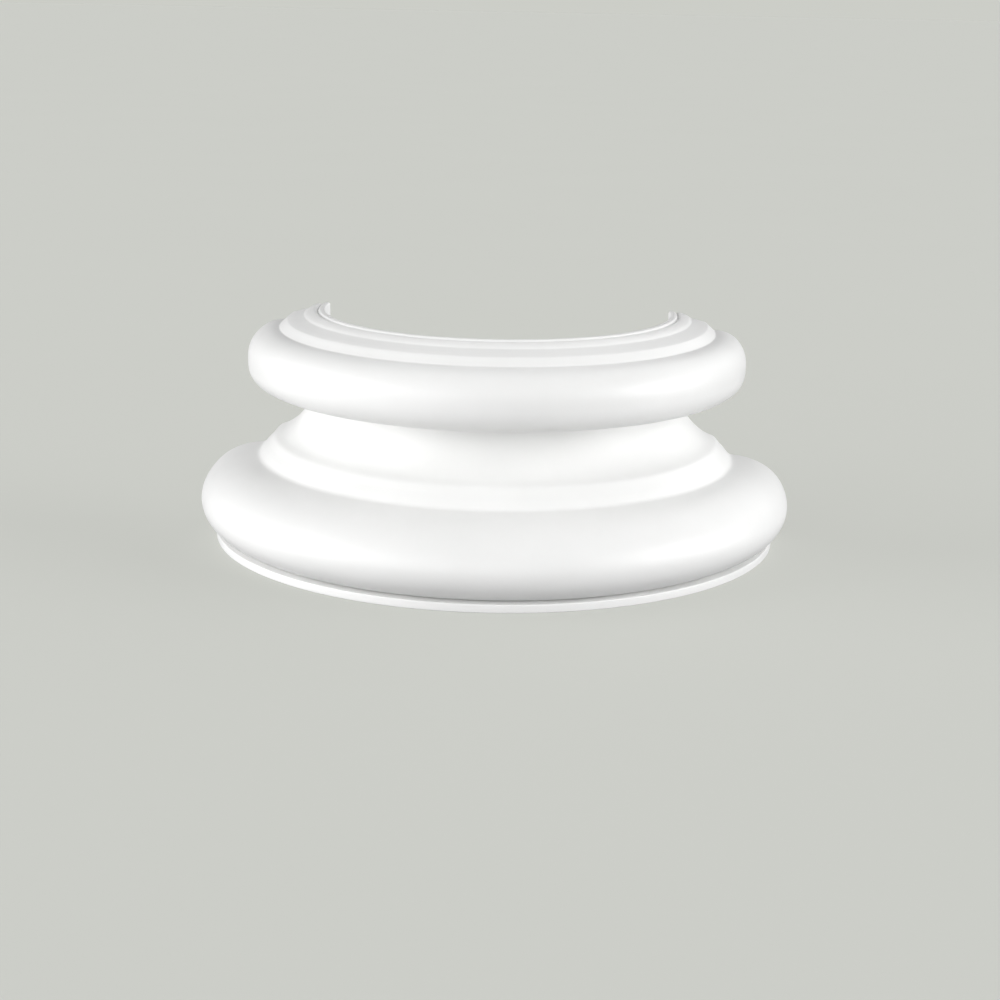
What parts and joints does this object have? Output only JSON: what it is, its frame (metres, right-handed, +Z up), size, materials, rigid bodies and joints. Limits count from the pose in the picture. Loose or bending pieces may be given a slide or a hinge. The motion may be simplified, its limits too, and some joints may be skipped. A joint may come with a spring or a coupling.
{
  "type": "half-round column base",
  "caption": "Half-round moulded column base of the Attic kind, with a half-round recess for the shaft and a flat wall face.",
  "frame": {"origin": "middle of the underside's bounding box, on the floor; the shaft's axis stands 87 mm behind it, towards the wall", "axes": "+Z up, +X along the wall to the right seen from the front, +Y towards the wall"},
  "size_m": [0.37, 0.196, 0.1418],
  "materials": {
    "white_paint": "smooth satin white factory primer on rigid polyurethane"
  },
  "bodies": {
    "root": {"column_base": "white_paint"}
  },
  "joints": []
}
